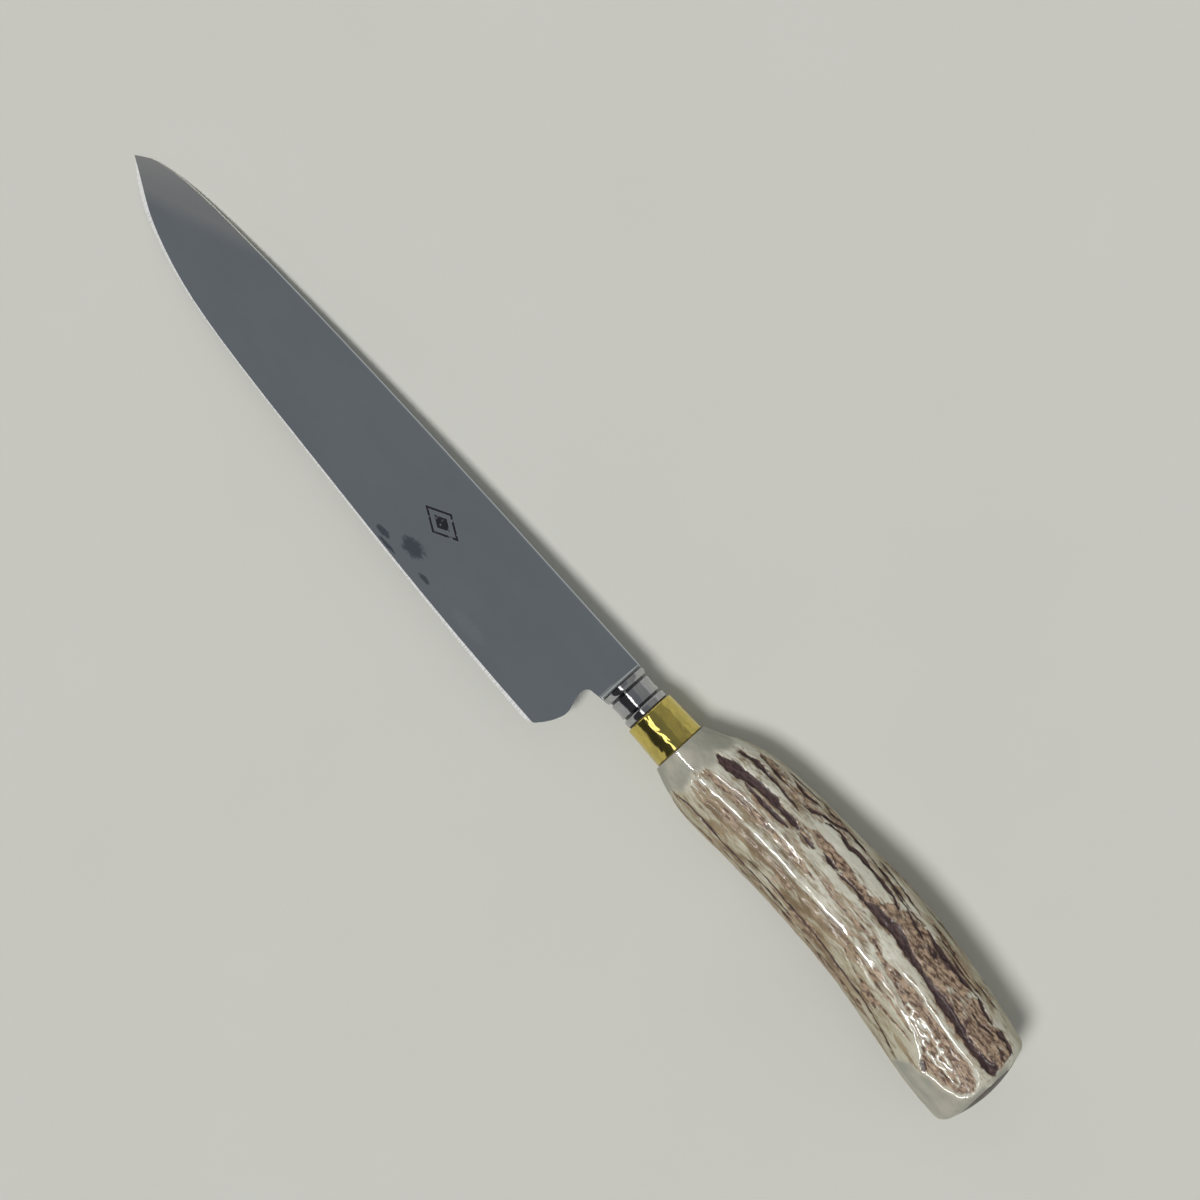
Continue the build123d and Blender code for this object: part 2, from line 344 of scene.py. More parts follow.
def soften(rows, sigma):
    """Each column smoothed along the handle, with its end slopes kept."""
    reach = int(3 * sigma)
    weights = np.exp(-0.5 * (np.arange(-reach, reach + 1) / sigma) ** 2)
    weights /= weights.sum()
    head = 2 * rows[0] - rows[reach:0:-1]
    tail = 2 * rows[-1] - rows[-2:-reach - 2:-1]
    padded = np.vstack((head, rows, tail))
    out = np.zeros_like(rows)
    for k, weight in enumerate(weights):
        out += weight * padded[k:k + len(rows)]
    return out


def girth_direction(turn, lean):
    """A direction at an angle round the handle, leaning towards the butt."""
    flat = math.cos(lean)
    return Vector((math.sin(lean), flat * math.sin(turn), flat * math.cos(turn)))


def straight_rings(cast, turns):
    """Rings square to the axis, smoothed along the handle except near the butt."""
    places = np.arange(FIRST_RING_X, FOCUS_X, RING_STEP)
    rings = []
    for x in places:
        origin = axis_point(x)
        directions = [girth_direction(t, 0) for t in turns]
        rings.append([origin + d * cast(origin, d)[0] for d in directions])
    rings = np.array(rings, dtype=float)
    calm = np.stack([soften(rings[:, :, k], CALM_LENGTH / RING_STEP) for k in range(3)], axis=2)
    keep = smooth(places, *CALM_ENDS)[:, None, None]
    return calm * (1 - keep) + rings * keep


def rim_leans(cast, turns):
    """How far the fan leans at each angle before it leaves the antler for the core's seal."""
    focus = axis_point(FOCUS_X)
    limits = []
    for t in turns:
        low, high = 0.0, math.pi / 2
        for _ in range(RIM_HALVINGS):
            middle = (low + high) / 2
            on_antler = cast(focus, girth_direction(t, middle))[1]
            low, high = (middle, high) if on_antler else (low, middle)
        limits.append(low)
    return limits


def outer_grid():
    """Points of the antler's outside, ring by ring from the shoulder to the rim of its core."""
    tree, starts = ray_tree("antler_beam", "core_seal")
    turns = [-math.pi + 2 * math.pi * j / COLUMNS for j in range(COLUMNS)]

    def cast(origin, direction):
        """How far out the surface lies, and whether it is the antler's."""
        hit, _, index, _ = tree.ray_cast(origin + direction * RAY_REACH, -direction)
        return (hit - origin).length, index < starts[1]

    rings = straight_rings(cast, turns)
    limits = rim_leans(cast, turns)
    focus = axis_point(FOCUS_X)
    fan = []
    for k in range(FAN_RINGS):
        leans = [limit * k / (FAN_RINGS - 1) for limit in limits]
        directions = [girth_direction(t, lean) for t, lean in zip(turns, leans)]
        fan.append([focus + d * cast(focus, d)[0] for d in directions])
    return np.vstack((rings, np.array(fan, dtype=float))), turns, limits


def inner_grid(turns, limits):
    """Points of the hollow that holds the spongy core, ring by ring from the rim to the front."""
    tree, _ = ray_tree("antler_beam")
    focus = axis_point(FOCUS_X)
    rings = []
    for share in CORE_FAN:
        directions = [girth_direction(t, limit * share) for t, limit in zip(turns, limits)]
        rings.append([tree.ray_cast(focus, d)[0] for d in directions])
    for x in (*CORE_RINGS, CORE_START_X + 0.1, CORE_START_X - 0.1, SPIGOT_X):
        origin = axis_point(x) if x > AXIS_X[0] else Vector((x, 0, 0))
        rings.append([tree.ray_cast(origin, girth_direction(t, 0))[0] for t in turns])
    return np.array([[tuple(p) for p in ring] for ring in rings])


# ------------------------------------------------------------------ the bark, drawn as seen from above
# Places are millimetres: x from the blade's point, y from the bolster's axis towards the spine.
# The drawing is a plan seen from VIEW_HEIGHT over the mid-plane, so high places lie a bit further out.
# A band is rows of (x, low y, high y). A stroke is its width and then its points. A lip is its lift,
# the depth of the hollow past it, the length of its drop, and then its points.
POINT_TO_BOLSTER = 191.4
VIEW_HEIGHT = 787.5
VIEW_CENTRE = (-29.0, 10.0)
BARK_START = 211.0
BARK_END = 319.0

STAIN_FRONT = ((210.6, 5.7, 5.9), (211.5, 5.0, 6.2), (213, 4.5, 6.8), (216, 4.5, 7.9), (218.5, 5.1, 8.3),
               (221.5, 6.2, 8.7), (224, 7.0, 9.3), (226.5, 7.2, 9.9), (230.4, 7.5, 9.8), (232, 7.6, 8.7),
               (234, 7.7, 9.3), (237, 7.7, 9.5), (240.4, 7.9, 8.2))
STAIN_BACK = ((214.2, 10.4, 10.6), (216.5, 10.5, 11.4), (219.2, 11.0, 12.4), (222.7, 11.4, 12.8),
              (224.5, 11.7, 12.2))
STAIN_REAR = ((264, 8.2, 8.9), (268, 8.0, 10.3), (273, 7.8, 10.5), (278, 7.2, 9.8), (284, 6.6, 8.4),
              (289, 5.8, 7.2), (293, 5.1, 6.7), (297, 4.5, 6.9), (301, 4.1, 6.2), (305, 3.3, 5.0),
              (310, 2.6, 4.3), (314, 2.2, 4.8), (317, 2.2, 5.6), (318.8, 3.6, 4.4))
BARK_REAR = ((239, 7.8, 9.6), (243, 7.8, 11.6), (248, 8.2, 11.9), (254, 8.2, 11.4), (259, 7.8, 11.0),
             (263, 7.5, 11.0), (267, 7.6, 11.4), (270, 7.6, 14.2), (275, 7.4, 14.8), (279, 7.0, 15.4),
             (285, 6.3, 14.3), (290, 5.5, 13.8), (296, 4.6, 13.5), (300, 4.2, 12.6), (305, 3.0, 12.2),
             (310, 2.4, 11.8), (314, 2.1, 11.4), (316.5, 2.2, 10.8), (317.6, 2.4, 7.0), (318.8, 3.6, 4.4))
BARK_SPINE = ((218.5, 13.5, 14.0), (222, 13.4, 15.2), (227, 13.2, 15.8), (233, 12.8, 16.0),
              (238, 12.8, 15.6), (242, 13.2, 15.0))
HOLLOW = ((275, 1.6, 2.4), (280, 0.4, 2.5), (284, -0.6, 2.6), (288, -1.9, 2.7), (291.9, -2.9, 2.8),
          (293.5, -3.4, 1.8), (297, -4.3, 1.5), (300, -5.8, 1.1), (303, -8.4, 0.8), (305, -9.2, 0.6),
          (309, -8.6, 0.2), (313, -8.0, -0.1), (316, -6.7, -1.1), (317.8, -4.2, -3.4))
PITS = ((290, -2.6, -0.6), (294, -3.4, -0.4), (298, -4.4, -0.8), (302, -6.2, -1.4), (306, -7.4, -2.4),
        (310, -7.0, -3.4), (314, -6.2, -4.2))
SMOOTH_HEEL = ((297, -13.0, -12.6), (301, -14.6, -10.6), (306, -14.8, -9.9), (311, -14.9, -9.0),
               (316, -14.8, -7.4), (319, -12.0, -4.0))
IVORY_PATCH = ((241, 12.4, 13.6), (246, 12.2, 14.4), (252, 12.0, 14.2), (258, 12.4, 14.7),
               (264, 12.0, 14.4), (268, 12.3, 13.6))

CRACKS = (
    (1.0, (218.5, 13.8), (221.5, 13.8), (225, 13.7), (229.2, 13.8)),
    (1.0, (229.2, 15.7), (233.8, 15.6), (236.9, 16.2), (239, 16.3)),
    (1.3, (235.8, 13.3), (238.5, 14.1), (240.8, 15.3), (244.2, 16.0), (248, 17.4), (251, 17.2), (256, 17.0)),
    (1.6, (242.3, 14.3), (244.2, 15.1), (247.3, 15.5), (249.6, 14.7), (251.5, 14.7), (253.5, 15.5),
     (257.7, 15.2), (262, 14.9), (268, 14.6), (271, 13.2)),
    (1.0, (238.5, 17.2), (242.3, 17.2), (245, 17.4)),
    (0.9, (256, 17.0), (262, 16.6), (268, 16.2), (273, 15.6)),
    (0.9, (272, 14.8), (276, 14.2), (281, 13.2)),
    (1.3, (279.5, 15.4), (283, 14.6), (287, 14.2), (293, 13.7), (300, 13.3)),
    (0.7, (274, 18.9), (280, 18.8), (287, 18.3)),
    (0.7, (279, 17.6), (284, 17.1), (289, 16.4)),
    (0.9, (300, 13.6), (304, 12.4), (308, 11.4)),
    (0.7, (296, 15.7), (301, 15.4), (306, 14.8)),
    (0.6, (302, 9.6), (306, 9.4), (311, 9.9)),
    (1.4, (310, 10.9), (313.5, 11.2), (317, 10.4)),
    (0.7, (314, 8.2), (317.4, 7.4)),
    (1.2, (221.5, 6.0), (226.9, 6.2), (229.2, 6.0), (232.7, 6.2), (235.8, 6.5), (237.8, 6.7)),
    (0.9, (222.5, 11.9), (227, 12.1), (230.8, 11.7), (233.8, 11.9), (236, 11.4)),
    (0.8, (240, 8.0), (243, 7.9), (246.2, 7.8)),
    (1.0, (247.7, 8.9), (250.5, 8.8), (253.8, 8.5)),
    (0.9, (254, 8.0), (258, 8.6), (262, 8.6), (266, 8.4)),
    (0.7, (236, -6.4), (242, -6.3), (250, -6.5), (262, -6.9), (271.5, -7.8), (281.5, -8.6), (290.8, -10.5),
     (296.5, -12.0), (300.4, -12.8), (308, -13.8)),
    (0.8, (207.7, -8.8), (212.7, -8.9), (214.6, -8.4), (219.2, -8.2), (228.8, -8.4), (234.6, -8.2),
     (242, -8.1), (250, -7.9), (258, -8.4)),
    (0.9, (212.7, -10.3), (217.3, -10.7), (223, -10.2), (230.8, -9.7), (238.5, -9.5), (246, -9.0),
     (253.8, -8.9), (264, -9.3), (272.7, -9.4), (283.8, -10.8)),
    (0.6, (258, 17.9), (264, 17.8), (270, 17.3), (276, 16.6)),
    (0.5, (283, 16.6), (289, 16.0), (296, 15.0)),
    (0.6, (266, 15.8), (272, 15.2), (279, 15.5)),
    (0.5, (244, 18.6), (252, 18.8), (260, 18.7), (266, 18.6)),
    (0.6, (288, 15.2), (294, 14.5), (301, 14.2)),
    (0.9, (226, 16.0), (231, 16.6), (236, 17.0), (240, 17.4)),
    (1.2, (302.6, -8.2), (304, -8.9), (305.4, -9.5)),
    (0.5, (271.5, 3.5), (273.5, 3.2), (277, 2.2)),
)
FURROWS = (
    (1.5, (211.5, 0.5), (215.4, 0.8), (219.2, 1.1), (222.7, 2.2), (227, 2.6), (233, 2.8), (238.5, 3.0),
     (246, 3.0), (252, 2.6)),
    (0.9, (251.5, -1.2), (257, -1.2), (262, -1.1), (268, -1.5), (276.5, -2.6), (281, -3.5), (288, -4.2)),
    (0.9, (267.7, -3.0), (271, -4.2), (275.4, -5.5), (281, -6.2), (287, -6.6), (298.5, -6.7)),
    (0.8, (254, 3.2), (260, 3.0), (268, 3.2), (271.5, 3.4)),
    (0.7, (284, -3.3), (290, -4.4), (297, -5.4)),
)
TAN_BANDS = (
    (2.4, (213, -4.6), (217.3, -4.7), (221, -4.2), (227, -3.7), (234.6, -3.6), (242.3, -3.1), (250, -3.4)),
    (2.2, (252, -3.4), (257.7, -3.2), (262, -3.5), (268, -3.0), (275, -3.4)),
    (2.0, (242.3, 11.2), (250, 10.6), (257.7, 10.4)),
    (1.8, (277, 1.6), (283, 1.4), (290, 1.3), (297, 0.4), (305, -0.6), (311, -1.8), (315.5, -3.2)),
    (1.6, (293, -8.6), (298, -9.4), (304, -10.2)),
    (2.0, (225, 5.2), (229, 5.1)),
    (1.4, (307, -0.9), (311, -1.9), (314, -3.2)),
)
LIPS = (
    (0.50, 0.45, 1.9, (211.5, 0.7), (213.5, 2.0), (216.5, 2.3), (220.4, 2.8), (224.6, 3.0), (227, 3.4),
     (230.4, 3.0), (235, 3.5), (246, 3.4), (252, 3.3)),
    (0.55, 0.30, 1.6, (211.8, -1.6), (218.5, -1.7), (220, -1.0), (223, -0.9), (230, -0.9), (236, -0.5),
     (244, -0.3), (246, -0.7), (262, -0.6), (267.7, -0.6), (272.7, -1.2), (276.5, -1.6), (281.5, -2.0),
     (287, -2.3)),
)
HIDDEN_SEED = 41
HIDDEN_STROKES = 46
HIDDEN_POINTS = 8
HIDDEN_ROOM = 45
HIDDEN_LENGTH = (12, 70)
HIDDEN_GIRTH = (19.5, 42)
HIDDEN_DRIFT = 0.45
HIDDEN_WIDTHS = (0.6, 0.8, 1.3, 2.2, 3.4)
CRACK_WIDTHS = (0, 1)
FURROW_WIDTHS = (1, 3)
BARK_WIDTHS = (3, 9)


class Sheet:
    """The antler's surface laid flat: x along the drawing, s round the girth from the top line."""

    def __init__(self, grid, turns):
        steps = np.linalg.norm(np.roll(grid, -1, axis=1) - grid, axis=2)
        top = COLUMNS // 2
        round_way = np.cumsum(np.roll(steps, 1, axis=1), axis=1)
        self.s = round_way - round_way[:, top:top + 1]
        self.turn = np.broadcast_to(np.array(turns) / (2 * math.pi) + 0.5, self.s.shape)
        run = np.linalg.norm(np.diff(grid, axis=0), axis=2)
        self.along = np.vstack((np.zeros((1, COLUMNS)), np.cumsum(run, axis=0)))
        shrink = 1 - np.maximum(grid[:, :, 2], 0) / VIEW_HEIGHT
        self.x = (grid[:, :, 0] - VIEW_CENTRE[0]) / shrink + VIEW_CENTRE[0] + POINT_TO_BOLSTER
        self.y = (grid[:, :, 1] - VIEW_CENTRE[1]) / shrink + VIEW_CENTRE[1]
        self.centre_x = self.x[:, top]

    def girth(self, x, y):
        """How far round from the top line a drawn place lies."""
        ring = int(np.clip(np.searchsorted(self.centre_x, x), 0, len(self.centre_x) - FAN_RINGS // 2))
        upper = slice(COLUMNS // 4, 3 * COLUMNS // 4 + 1)
        return float(np.interp(y, self.y[ring, upper], self.s[ring, upper]))

    def rag(self, size, cells, seed):
        return streaks(self.along, self.turn, size, cells, 2, seed)

    def noise(self, size, cells, seed):
        return lattice_noise(self.along / size, self.turn, cells, seed)


def stroke_mask(sheet, width, points, ragged):
    """1 along the middle of a stroke, 0 past its ragged edges; its two ends taper."""
    mask = np.zeros_like(sheet.s)
    points = np.array(points, dtype=float)
    lengths = np.hypot(*np.diff(points, axis=0).T)
    ends = np.concatenate(([0], np.cumsum(lengths)))
    low, high = points.min(axis=0) - width - 1, points.max(axis=0) + width + 1
    near = (sheet.x > low[0]) & (sheet.x < high[0]) & (sheet.s > low[1]) & (sheet.s < high[1])
    x, s, rag = sheet.x[near], sheet.s[near], ragged[near]
    best = np.full(x.shape, 1e9)
    share = np.zeros_like(best)
    for k, (start, stop) in enumerate(zip(points[:-1], points[1:])):
        step = stop - start
        t = np.clip(((x - start[0]) * step[0] + (s - start[1]) * step[1]) / (step @ step), 0, 1)
        distance = np.hypot(x - start[0] - t * step[0], s - start[1] - t * step[1])
        closer = distance < best
        best = np.where(closer, distance, best)
        share = np.where(closer, (ends[k] + t * lengths[k]) / ends[-1], share)
    taper = np.clip(1.12 - np.abs(2 * share - 1) ** 3, 0.15, 1)
    half = width / 2 * taper * (1 + 0.45 * rag)
    mask[near] = 1 - smooth(best / np.maximum(half, 0.05), 0.55, 1.35)
    return mask


def stroke_masks(sheet, strokes, ragged):
    """Several strokes in one mask."""
    return np.max([stroke_mask(sheet, width, points, ragged) for width, points in strokes], axis=0)


def drawn_strokes(sheet, table, spread=1.0):
    """The strokes of a table, moved from the drawing onto the sheet and widened by spread."""
    return [(row[0] * spread, [(x, sheet.girth(x, y)) for x, y in row[1:]]) for row in table]


def hidden_strokes():
    """Strokes of the sides and underside, in x and s, spread by a seeded draw."""
    rng = np.random.default_rng(HIDDEN_SEED)
    strokes = []
    for k in range(HIDDEN_STROKES):
        side = 1 if k % 2 else -1
        start = rng.uniform(BARK_START + 1, BARK_END - HIDDEN_ROOM)
        length = rng.uniform(*HIDDEN_LENGTH)
        place = side * rng.uniform(*HIDDEN_GIRTH)
        xs = np.linspace(start, min(start + length, BARK_END - 1), HIDDEN_POINTS)
        drift = np.cumsum(rng.normal(0, HIDDEN_DRIFT, HIDDEN_POINTS))
        width = rng.choice(HIDDEN_WIDTHS)
        strokes.append((width, [(x, place + d) for x, d in zip(xs, drift)]))
    return strokes


def band_mask(sheet, rows, edge, ragged):
    """1 between the two sides of a band, each given as (x, low y, high y)."""
    x = np.array([row[0] for row in rows])
    low = np.array([sheet.girth(row[0], row[1]) for row in rows])
    high = np.array([sheet.girth(row[0], row[2]) for row in rows])
    floor = sheet.s - np.interp(sheet.x, x, low) + ragged
    ceiling = np.interp(sheet.x, x, high) - sheet.s + ragged
    inside = smooth(floor, -edge, edge) * smooth(ceiling, -edge, edge)
    ends = smooth(sheet.x, x[0] - 0.4, x[0] + 0.4) * (1 - smooth(sheet.x, x[-1] - 0.3, x[-1] + 0.3))
    return inside * ends


def band_masks(sheet, tables, edge, ragged):
    """Several bands in one mask."""
    return np.max([band_mask(sheet, rows, edge, ragged) for rows in tables], axis=0)


def lip_profile(sheet, lift, depth, fall, points):
    """A ridge that climbs to a line from the spine side and drops past it: relief, crest, hollow."""
    x = np.array([p[0] for p in points], dtype=float)
    line = np.interp(sheet.x, x, [sheet.girth(*p) for p in points])
    above = sheet.s - line + 0.12 * sheet.rag(3.0, 44, 90)
    ends = smooth(sheet.x, x[0], x[0] + 2) * (1 - smooth(sheet.x, x[-1] - 4, x[-1]))
    relief = lift * (1 - smooth(above, -0.7, 3.2)) - (lift + depth) * smooth(-above, 0.1, fall)
    relief += depth * smooth(-above, fall, fall + 1.7)
    crest = np.exp(-(above / 0.95) ** 2)
    shade = smooth(-above, 0, 0.8) * (1 - smooth(-above, 1.6, 3.2))
    return relief * ends, crest * ends, shade * ends


# ------------------------------------------------------------------ the bark's relief and colours
# Heights and depths in millimetres.
GRAIN_HEIGHT = 0.13
FIBRE_HEIGHT = 0.05
IVORY_HEIGHT = 0.12
PIT_FLOOR = 0.10
PIT_HEIGHT = 0.40
CRACK_DEPTH = 0.45
FURROW_DEPTH = 0.30
STAIN_DEPTH = 0.50
BARK_DEPTH = 0.30
HOLLOW_DEPTH = 0.70
NOSE_DEPTH = 0.12
NOSE_FADE = (300, 190)
SEAM_WIDTH = (1.5, 2.1)
HALO_SPREAD = 2.8


class Bark:
    """The antler's marks, noise and lips over one sheet, and the relief and colours they make."""

    def __init__(self, sheet):
        self.sheet = sheet
        self.fine = sheet.rag(2.2, 52, 11)
        self.coarse = sheet.rag(7.0, 26, 12)
        self.jag = 0.22 * self.fine + 0.1 * self.coarse
        self.add_noise()
        self.add_bands()
        self.add_strokes()
        self.add_extent()

    def add_noise(self):
        """Grain and finer fibre, crumbs and blotches in the bark, and crests in the pitted hollow."""
        sheet = self.sheet
        turn = sheet.turn + 0.010 * sheet.noise(16, 6, 31)
        self.grain = streaks(sheet.along, turn, 11.0, 30, 3, 32)
        self.fibre = streaks(sheet.along, turn, 5.0, 84, 2, 61)
        self.crumble = sheet.rag(1.9, 60, 51)
        self.blotch = sheet.rag(4.5, 34, 71)
        folds = sheet.noise(2.4, 84, 81) + 0.8 * sheet.rag(5.0, 44, 82)
        self.crests = 1 - 1.3 * np.abs(folds)

    def add_bands(self):
        """The drawn areas: stains with a halo round them, bark, hollow, pits, ivory and smooth heel."""
        sheet, jag = self.sheet, self.jag
        stains = (STAIN_FRONT, STAIN_BACK, STAIN_REAR)
        self.dark = band_masks(sheet, stains, 0.6, jag * 1.4)
        self.halo = band_masks(sheet, stains, 1.3, jag * 3 + 0.5)
        self.rough = band_masks(sheet, (BARK_REAR, BARK_SPINE), 0.9, jag * 2.2)
        self.rough *= 0.70 + 0.28 * smooth(sheet.x, 256, 268)
        self.hollow = band_mask(sheet, HOLLOW, 0.9, jag * 0.5)
        self.pits = band_mask(sheet, PITS, 0.5, jag * 1.5)
        self.ivory = band_mask(sheet, IVORY_PATCH, 0.5, jag)
        self.heel = band_mask(sheet, SMOOTH_HEEL, 1.2, jag * 3)

    def add_strokes(self):
        """The drawn strokes, then the hidden ones, which become cracks, furrows or bark by width."""
        sheet = self.sheet
        hidden = hidden_strokes()

        def hidden_mask(limits, ragged):
            strokes = [stroke for stroke in hidden if limits[0] < stroke[0] < limits[1]]
            return stroke_masks(sheet, strokes, ragged)

        cracks = stroke_masks(sheet, drawn_strokes(sheet, CRACKS), self.fine)
        furrows = stroke_masks(sheet, drawn_strokes(sheet, FURROWS), self.fine)
        around = stroke_masks(sheet, drawn_strokes(sheet, CRACKS, HALO_SPREAD), self.coarse)
        self.tans = stroke_masks(sheet, drawn_strokes(sheet, TAN_BANDS), self.coarse)
        self.cracks = np.maximum(cracks, hidden_mask(CRACK_WIDTHS, self.fine))
        self.furrows = np.maximum(furrows, hidden_mask(FURROW_WIDTHS, self.fine))
        self.rough = np.maximum(self.rough, hidden_mask(BARK_WIDTHS, self.coarse))
        self.halo = np.maximum(self.halo, 0.8 * around)
        lips = [lip_profile(sheet, *row[:3], row[3:]) for row in LIPS]
        self.lips, self.lip_crest, self.lip_shade = np.sum(lips, axis=0)

    def add_extent(self):
        """Where the bark is left on, where it is polished away, and where it is old and olive."""
        sheet = self.sheet
        start = BARK_START + 1.4 * sheet.noise(400, 22, 21)
        end = BARK_END - 0.6 + 1.1 * sheet.noise(400, 30, 22)
        left_on = smooth(sheet.x, start - 0.8, start + 1.6) * (1 - smooth(sheet.x, end - 0.9, end + 0.9))
        self.bark = left_on * (1 - self.heel)
        self.polish = 1 - self.bark
        sides = np.clip(smooth(sheet.s, 12, 17) + smooth(-sheet.s, 5, 10), 0, 1)
        self.age = np.clip(sides * (0.85 + 0.3 * self.coarse) - 0.5 * self.ivory, 0, 1) * self.bark
        self.lower = smooth(-sheet.s, -3.0, 1.0) * (1 - smooth(sheet.x, 288, 300))

    def relief(self):
        """Height over the CAD surface."""
        crumbs = self.rough * (BARK_DEPTH + 0.26 * self.crumble + 0.14 * self.blotch)
        height = GRAIN_HEIGHT * self.grain + FIBRE_HEIGHT * self.fibre + IVORY_HEIGHT * self.ivory
        height += self.lips + self.pits * (PIT_FLOOR + PIT_HEIGHT * self.crests)
        height -= CRACK_DEPTH * self.cracks + FURROW_DEPTH * self.furrows + crumbs
        height -= STAIN_DEPTH * self.dark + HOLLOW_DEPTH * self.hollow
        return height * self.bark - NOSE_DEPTH * self.polish * smooth(self.sheet.x, *NOSE_FADE)

    def dark_share(self):
        """Dark stain in bands, cracks and bark, and the seal's dark seam on the butt's rim."""
        sheet = self.sheet
        share = self.dark * (1.0 + 0.1 * self.crumble) + self.cracks * 0.95
        share += self.rough * 0.42 * smooth(-self.crumble, 0.1, 0.7)
        share += self.rough * 0.45 * smooth(self.blotch, 0.25, 0.9)
        seam = 1 - smooth(sheet.along[-1] - sheet.along + 0.15 * self.fine, *SEAM_WIDTH)
        return np.maximum(np.clip(share, 0, 1) * self.bark, seam)

    def brown_share(self):
        """Brown in the bark, the furrows, the hollow, the pits' floors and the deepest grain."""
        deep = smooth(-(self.grain + 0.7 * self.fibre), 0.45, 1.15)
        share = self.rough * (0.86 + 0.25 * self.crumble + 0.3 * self.blotch)
        share += 0.8 * self.furrows + 0.78 * self.hollow + 0.30 * self.halo
        share += self.pits * (smooth(-self.crests, -0.6, 0.2) * 0.75 - 0.35)
        share += deep * (0.30 + 0.30 * self.lower + 0.40 * self.age)
        share += 0.25 * self.lip_shade + 0.28 * self.tans
        return np.clip(share, 0, 1) * self.bark

    def tan_share(self):
        """Tan in the drawn bands, the low grain, round the stains and under the lips."""
        low = smooth(-self.grain, 0.0, 0.9)
        share = 0.70 * self.tans + low * (0.30 + 0.35 * self.age) + 0.16 + 0.2 * self.fibre
        share += 0.4 * self.halo + 0.42 * self.lip_shade + 0.18 * self.lower - 0.5 * self.ivory
        return np.clip(share, 0, 1) * self.bark

    def shine_share(self):
        """Mirror shine on the lips' crests, the hollow's rim and the pits' crests; it sets the coat and a
        painted highlight that whitens the colour.
        """
        breaks = smooth(self.sheet.rag(5.0, 10, 91), -0.45, 0.05)
        rim = smooth(self.hollow, 0.002, 0.03) * (1 - smooth(self.hollow, 0.25, 0.6))
        rim *= smooth(self.sheet.x, 281, 285)
        sparkle = self.pits * smooth(self.crests, 0.45, 0.85)
        shine = np.max([self.lip_crest * breaks, rim, sparkle], axis=0)
        return np.clip(shine * self.bark + 0.16 * self.polish, 0, 1)

    def layers(self):
        """The colour layers of the mesh, each by name with three channels."""
        none = np.zeros_like(self.bark)
        return {
            "stain": (self.dark_share(), self.brown_share(), self.tan_share()),
            "finish": (self.age, self.pits * self.bark, self.polish),
            "gloss": (self.shine_share(), none, none),
        }


# ------------------------------------------------------------------ the antler
def grid_normals(grid):
    """The outward direction at each point of the outside grid."""
    around = np.roll(grid, -1, axis=1) - np.roll(grid, 1, axis=1)
    ahead = np.gradient(grid, axis=0)
    normal = np.cross(ahead, around)
    normal /= np.linalg.norm(normal, axis=2, keepdims=True)
    return -normal if (normal[:, COLUMNS // 2, 2]).mean() < 0 else normal


def ring_of(x, radius, turns):
    """A round ring about the bolster's axis."""
    return np.array([(x, radius * math.sin(t), radius * math.cos(t)) for t in turns])


def closed_tube(name, rings):
    """A closed mesh of rings, the last joined to the first."""
    count = len(rings)
    turn = np.array(TO_ROW)
    points = np.vstack(rings) @ turn[:3, :3].T + turn[:3, 3]
    i, j = np.meshgrid(np.arange(count), np.arange(COLUMNS), indexing="ij")
    ring, next_ring = i * COLUMNS, (i + 1) % count * COLUMNS
    beside = (j + 1) % COLUMNS
    quads = np.stack((next_ring + j, next_ring + beside, ring + beside, ring + j), axis=2)
    mesh = bpy.data.meshes.new(name)
    mesh.from_pydata(points.tolist(), [], quads.reshape(-1, 4).tolist())
    mesh.polygons.foreach_set("use_smooth", [True] * len(mesh.polygons))
    return mesh


def paint(mesh, name, channels):
    """A colour layer from three channels over the first points of a mesh; the rest stays black."""
    layer = mesh.color_attributes.new(name, "FLOAT_COLOR", "POINT")
    colours = np.zeros((len(mesh.vertices), 4))
    colours[:, 3] = 1
    for k, channel in enumerate(channels):
        colours[:channel.size, k] = channel.ravel()
    layer.data.foreach_set("color", colours.ravel())


def shoulder_rings(first, turns):
    """The spigot and the flat shoulder in front of the first outer ring."""
    centre = first.mean(axis=0)
    steps = [centre + (first - centre) * share for share in SHOULDER_SHARES]
    return [ring_of(SPIGOT_X, SPIGOT_RADIUS, turns), ring_of(SHOULDER_X, SPIGOT_RADIUS, turns), *steps]


def make_antler():
    """The whole antler, from its outside through the core's hollow and the spigot back to the nose."""
    grid, turns, limits = outer_grid()
    bark = Bark(Sheet(grid, turns))
    outside = grid + grid_normals(grid) * bark.relief()[:, :, None]
    outside[0, :, 0] = SHOULDER_X
    front = shoulder_rings(outside[0].copy(), turns)
    outside[0, :, 0] += SHOULDER_STEP
    mesh = closed_tube("antler", [*outside, *inner_grid(turns, limits), *front])
    for name, channels in bark.layers().items():
        paint(mesh, name, channels)
    mesh.materials.append(antler_material())
    antler = bpy.data.objects.new("antler", mesh)
    bpy.context.scene.collection.objects.link(antler)
    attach(antler, "root")
    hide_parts("antler_beam")
    return antler


# Each pair is blended by a noise: the pale and the darker shade of one surface.
IVORY = ((0.67, 0.665, 0.57), (0.56, 0.545, 0.45))
NOSE = ((0.41, 0.393, 0.325), (0.30, 0.298, 0.25))
TAN = ((0.335, 0.265, 0.17), (0.19, 0.135, 0.078))
BROWN = ((0.085, 0.046, 0.032), (0.49, 0.365, 0.255))
DARK = ((0.038, 0.022, 0.024), (0.105, 0.062, 0.058))
OLD_OLIVE = (0.42, 0.385, 0.27)
# Paler polished crests, also used as a painted highlight along the shiny crests.
PALE_CREST_AND_PAINTED_HIGHLIGHT = (0.80, 0.79, 0.73)


